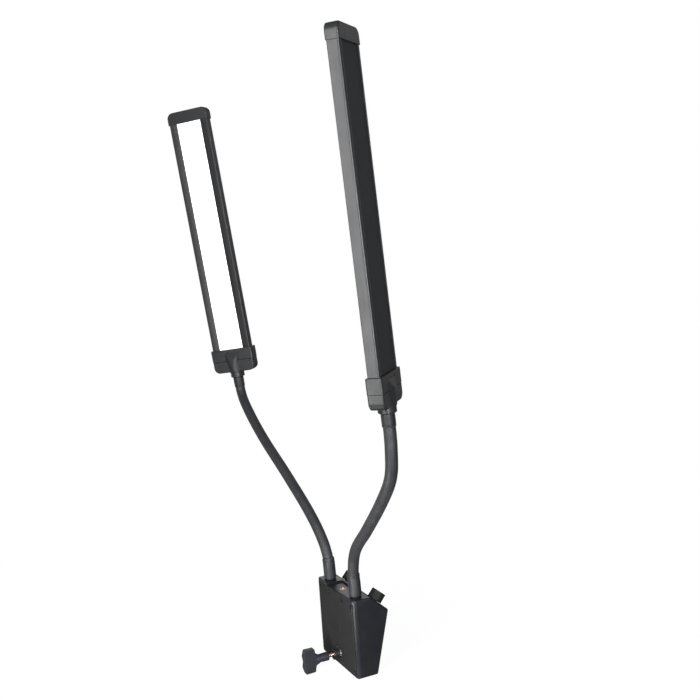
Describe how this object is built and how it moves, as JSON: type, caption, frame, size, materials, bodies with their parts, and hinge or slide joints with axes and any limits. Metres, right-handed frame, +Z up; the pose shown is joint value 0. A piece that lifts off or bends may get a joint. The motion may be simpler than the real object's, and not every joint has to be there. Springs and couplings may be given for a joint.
{
  "type": "twin-arm gooseneck lamp",
  "caption": "Lamp with LED light bars on flexible gooseneck arms, rising from a control box with dimmer knobs and a stand socket with a lock screw.",
  "frame": {"origin": "middle of the stop at the end of the stand socket, on the socket's axis, where the spigot's tip rests", "axes": "+Z up along the stand spigot; -Y towards the cover, the lock screw and the lit side; +X towards the right arm"},
  "size_m": [0.6297, 0.1471, 0.8691],
  "materials": {
    "moulded_housing": "fine matt moulded texture",
    "moulded_caps": "fine matt moulded texture",
    "coated_aluminium": "satin black powder coat",
    "coated_metal": "satin black",
    "rubber_sleeve": "matt, very fine texture",
    "armoured_hose": "wound steel strip",
    "bright_steel": "turned and plated",
    "brass": "turned",
    "grille": "black perforated sheet",
    "diffuser": "opal acrylic, lit",
    "led_board": "white solder mask",
    "circuit_board": "green solder mask",
    "display_glass": "dark smoked window",
    "nylon": "natural nylon"
  },
  "bodies": {
    "control_box": {"base_housing": "moulded_housing", "cover_plate": "moulded_housing", "cover_screw_top_left": "bright_steel", "cover_screw_top_right": "bright_steel", "cover_screw_bottom_left": "bright_steel", "cover_screw_bottom_right": "bright_steel", "cover_screw_mid_left": "bright_steel", "cover_screw_mid_right": "bright_steel", "stand_socket": "bright_steel", "lock_boss": "coated_metal", "lock_ring": "bright_steel", "accessory_thread_insert": "brass", "display_window": "display_glass", "encoder_left": "bright_steel", "encoder_right": "bright_steel", "control_board": "circuit_board", "driver_board": "circuit_board", "power_jack": "moulded_housing", "left_neck_root": "armoured_hose", "left_base_collar": "rubber_sleeve", "right_neck_root": "armoured_hose", "right_base_collar": "rubber_sleeve"},
    "knob_left": {"knob_left": "moulded_housing"},
    "knob_right": {"knob_right": "moulded_housing"},
    "lock_pad": {"pressure_pad": "nylon"},
    "lock_screw": {"lock_shaft": "brass", "lock_handle": "moulded_housing"},
    "left_arm_1": {"left_neck_core_1": "armoured_hose", "left_sleeve_1": "rubber_sleeve"},
    "left_arm_2": {"left_neck_core_2": "armoured_hose", "left_sleeve_2": "rubber_sleeve"},
    "left_arm_3": {"left_neck_core_3": "armoured_hose", "left_sleeve_3": "rubber_sleeve"},
    "left_arm_4": {"left_neck_core_4": "armoured_hose", "left_sleeve_4": "rubber_sleeve", "left_head_collar": "rubber_sleeve"},
    "left_head": {"left_bar_extrusion": "coated_aluminium", "left_diffuser": "diffuser", "left_led_board": "led_board", "left_back_grille": "grille", "left_top_cap": "moulded_caps", "left_bracket_upper": "moulded_caps", "left_bracket_lower": "moulded_caps"},
    "right_arm_1": {"right_neck_core_1": "armoured_hose", "right_sleeve_1": "rubber_sleeve"},
    "right_arm_2": {"right_neck_core_2": "armoured_hose", "right_sleeve_2": "rubber_sleeve"},
    "right_arm_3": {"right_neck_core_3": "armoured_hose", "right_sleeve_3": "rubber_sleeve"},
    "right_arm_4": {"right_neck_core_4": "armoured_hose", "right_sleeve_4": "rubber_sleeve", "right_head_collar": "rubber_sleeve"},
    "right_head": {"right_bar_extrusion": "coated_aluminium", "right_diffuser": "diffuser", "right_led_board": "led_board", "right_back_grille": "grille", "right_top_cap": "moulded_caps", "right_bracket_upper": "moulded_caps", "right_bracket_lower": "moulded_caps"}
  },
  "joints": [
    {"name": "knob_left_turn", "type": "hinge", "parent": "control_box", "child": "knob_left", "pos_m": [-0.044, 0.0265, 0.0595], "axis": [0, 0.6376, 0.7704], "continuous": true},
    {"name": "knob_right_turn", "type": "hinge", "parent": "control_box", "child": "knob_right", "pos_m": [0.044, 0.0265, 0.0595], "axis": [0, 0.6376, 0.7704], "continuous": true},
    {"name": "lock_pad_slide", "type": "slide", "parent": "control_box", "child": "lock_pad", "axis": [0, 1, 0], "range_m": [-0.002, 0.003]},
    {"name": "lock_screw_turn", "type": "hinge", "parent": "lock_pad", "child": "lock_screw", "pos_m": [0, -0.045, -0.027], "axis": [0, 1, 0], "range_deg": [-725, 1085]},
    {"name": "left_bend_1", "type": "hinge", "parent": "control_box", "child": "left_arm_1", "pos_m": [-0.05103, -0.00332, 0.11617], "axis": [-0.1013, 0.9949, 0], "range_deg": [-32, 32], "stiffness_Nm_per_rad": 5, "springref_deg": 21},
    {"name": "left_bend_2", "type": "hinge", "parent": "left_arm_1", "child": "left_arm_2", "pos_m": [-0.12783, -0.01114, 0.18789], "axis": [-0.5649, -0.0575, -0.8231], "range_deg": [-32, 32], "stiffness_Nm_per_rad": 5, "springref_deg": 0.66},
    {"name": "left_bend_3", "type": "hinge", "parent": "left_arm_2", "child": "left_arm_3", "pos_m": [-0.21618, -0.02013, 0.2461], "axis": [-0.1013, 0.9949, 0], "range_deg": [-32, 32], "stiffness_Nm_per_rad": 5, "springref_deg": 7.4},
    {"name": "left_bend_4", "type": "hinge", "parent": "left_arm_3", "child": "left_arm_4", "pos_m": [-0.29832, -0.02819, 0.31264], "axis": [-0.6488, -0.0661, -0.7581], "range_deg": [-32, 32], "stiffness_Nm_per_rad": 5, "springref_deg": 0.77},
    {"name": "left_head_twist", "type": "hinge", "parent": "left_arm_4", "child": "left_head", "pos_m": [-0.31592, -0.03029, 0.35617], "axis": [-0.042, -0.095, 0.9946], "range_deg": [-60, 60]},
    {"name": "right_bend_1", "type": "hinge", "parent": "control_box", "child": "right_arm_1", "pos_m": [0.04309, -0.00251, 0.11671], "axis": [0.1442, 0.9896, 0], "range_deg": [-32, 32], "stiffness_Nm_per_rad": 5, "springref_deg": -14.85},
    {"name": "right_bend_2", "type": "hinge", "parent": "right_arm_1", "child": "right_arm_2", "pos_m": [0.1097, -0.01222, 0.18323], "axis": [-0.5838, 0.0851, 0.8075], "range_deg": [-32, 32], "stiffness_Nm_per_rad": 5, "springref_deg": 0.45},
    {"name": "right_bend_3", "type": "hinge", "parent": "right_arm_2", "child": "right_arm_3", "pos_m": [0.18446, -0.02311, 0.24332], "axis": [0.1442, 0.9896, 0], "range_deg": [-32, 32], "stiffness_Nm_per_rad": 5, "springref_deg": -3.4},
    {"name": "right_bend_4", "type": "hinge", "parent": "right_arm_3", "child": "right_arm_4", "pos_m": [0.23664, -0.03082, 0.31978], "axis": [-0.9884, 0.144, 0.0473], "range_deg": [-32, 32], "stiffness_Nm_per_rad": 5, "springref_deg": 0.75},
    {"name": "right_head_twist", "type": "hinge", "parent": "right_arm_4", "child": "right_head", "pos_m": [0.23225, -0.03007, 0.36899], "axis": [-0.005, -0.059, 0.9982], "range_deg": [-60, 60]}
  ],
  "couplings": [
    {"joint": "lock_screw_turn", "follows": "lock_pad_slide", "rad_per_m": 6283.2}
  ]
}
